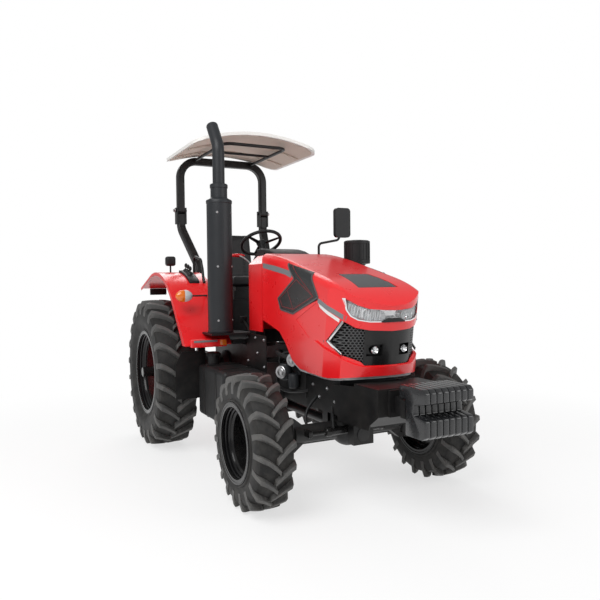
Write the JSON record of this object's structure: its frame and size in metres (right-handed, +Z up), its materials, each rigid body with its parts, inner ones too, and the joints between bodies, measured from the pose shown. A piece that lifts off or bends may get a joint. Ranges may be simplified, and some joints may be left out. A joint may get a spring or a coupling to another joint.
{
  "type": "farm tractor",
  "caption": "Four-wheel-drive farm tractor with open operator station, folding roll bar with canopy, tilting hood, front weights and rear linkage.",
  "frame": {"origin": "on the ground, at the middle of the tractor's bounding box", "axes": "+X forward, +Y to the tractor's left, +Z up"},
  "size_m": [4.38, 2.135, 3.0448],
  "materials": {
    "red_paint": "gloss",
    "tyre_rubber": "matte",
    "rim_black": "gloss",
    "roof_white": "satin",
    "seat_vinyl": "satin",
    "black_plastic": "satin",
    "dark_metal": "satin",
    "cast_black": "satin",
    "lamp_clear": "clear",
    "steel": "satin",
    "black_paint": "satin"
  },
  "bodies": {
    "chassis": {"air_intake": "black_plastic", "dash": "black_plastic", "drawbar": "steel", "engine_block": "cast_black", "exhaust_pipe": "dark_metal", "fender_lamps": "lamp_clear", "fender_left": "red_paint", "fender_right": "red_paint", "front_axle_beam": "cast_black", "front_drive_shaft": "steel", "front_frame": "black_paint", "front_guard": "black_paint", "front_weights": "cast_black", "fuel_tank": "black_plastic", "gearbox_housing": "cast_black", "grab_rails": "black_paint", "left_step": "black_paint", "mirror": "black_plastic", "muffler": "dark_metal", "platform": "black_plastic", "radiator": "dark_metal", "rear_axle_housing": "cast_black", "rear_cowl": "red_paint", "rops_posts": "black_paint", "seat_back": "seat_vinyl", "seat_base": "black_paint", "seat_cushion": "seat_vinyl", "side_shields": "black_paint", "tank_hangers": "black_paint", "weight_bracket": "black_paint"},
    "front_wheel_left": {"front_tyre_left": "tyre_rubber", "front_rim_left": "rim_black"},
    "front_wheel_right": {"front_tyre_right": "tyre_rubber", "front_rim_right": "rim_black"},
    "rear_wheel_left": {"rear_tyre_left": "tyre_rubber", "rear_rim_left": "rim_black", "rear_wheel_centre_left": "red_paint"},
    "rear_wheel_right": {"rear_tyre_right": "tyre_rubber", "rear_rim_right": "rim_black", "rear_wheel_centre_right": "red_paint"},
    "knuckle_left": {"knuckle_left": "cast_black"},
    "knuckle_right": {"knuckle_right": "cast_black"},
    "tie_rod": {"tie_rod": "steel"},
    "steering_wheel": {"steering_wheel": "black_plastic"},
    "hood": {"hood": "red_paint", "grille": "black_plastic", "headlamps": "lamp_clear", "hood_meshes": "black_plastic"},
    "rops": {"rops_hoop": "black_paint", "canopy": "roof_white", "canopy_frame": "black_paint"},
    "lower_links": {"lower_links": "black_paint"},
    "lift_arms": {"lift_arms": "black_paint"},
    "lift_rods": {"lift_rods": "black_paint"}
  },
  "joints": [
    {"name": "front_left_steer", "type": "hinge", "parent": "chassis", "child": "knuckle_left", "pos_m": [1.026, 0.56, 0.473], "axis": [0, 0, 1], "range_deg": [-40, 40]},
    {"name": "front_right_steer", "type": "hinge", "parent": "chassis", "child": "knuckle_right", "pos_m": [1.026, -0.56, 0.473], "axis": [0, 0, 1], "range_deg": [-40, 40]},
    {"name": "tie_rod_pivot", "type": "hinge", "parent": "knuckle_left", "child": "tie_rod", "pos_m": [0.836, 0.56, 0.413], "axis": [0, 0, 1], "range_deg": [-40, 40]},
    {"name": "front_left_roll", "type": "hinge", "parent": "knuckle_left", "child": "front_wheel_left", "pos_m": [1.026, 0.778, 0.473], "axis": [0, 1, 0], "continuous": true},
    {"name": "front_right_roll", "type": "hinge", "parent": "knuckle_right", "child": "front_wheel_right", "pos_m": [1.026, -0.778, 0.473], "axis": [0, 1, 0], "continuous": true},
    {"name": "rear_left_roll", "type": "hinge", "parent": "chassis", "child": "rear_wheel_left", "pos_m": [-1.09, 0.88, 0.71], "axis": [0, 1, 0], "continuous": true},
    {"name": "rear_right_roll", "type": "hinge", "parent": "chassis", "child": "rear_wheel_right", "pos_m": [-1.09, -0.88, 0.71], "axis": [0, 1, 0], "continuous": true},
    {"name": "steering_wheel_turn", "type": "hinge", "parent": "chassis", "child": "steering_wheel", "pos_m": [-0.57, 0, 1.97], "axis": [-0.5299, 0, 0.848], "continuous": true},
    {"name": "hood_lift", "type": "hinge", "parent": "chassis", "child": "hood", "pos_m": [0.217, 0, 1.826], "axis": [0, -1, 0], "range_deg": [0, 50]},
    {"name": "rops_fold", "type": "hinge", "parent": "chassis", "child": "rops", "pos_m": [-1.65, 0, 2.38], "axis": [0, -1, 0], "range_deg": [0, 90]},
    {"name": "link_lift", "type": "hinge", "parent": "chassis", "child": "lower_links", "pos_m": [-1.26, 0, 0.56], "axis": [0, 1, 0], "range_deg": [0, 35]},
    {"name": "arm_lift", "type": "hinge", "parent": "chassis", "child": "lift_arms", "pos_m": [-1.35, 0, 1.13], "axis": [0, 1, 0], "range_deg": [0, 35]},
    {"name": "rod_swing", "type": "hinge", "parent": "lift_arms", "child": "lift_rods", "pos_m": [-1.75, 0, 1.08918], "axis": [0, 1, 0], "range_deg": [-35, 0]}
  ],
  "couplings": [
    {"joint": "front_right_steer", "follows": "front_left_steer", "ratio": 1},
    {"joint": "tie_rod_pivot", "follows": "front_left_steer", "ratio": -1},
    {"joint": "arm_lift", "follows": "link_lift", "ratio": 1},
    {"joint": "rod_swing", "follows": "link_lift", "ratio": -1}
  ]
}
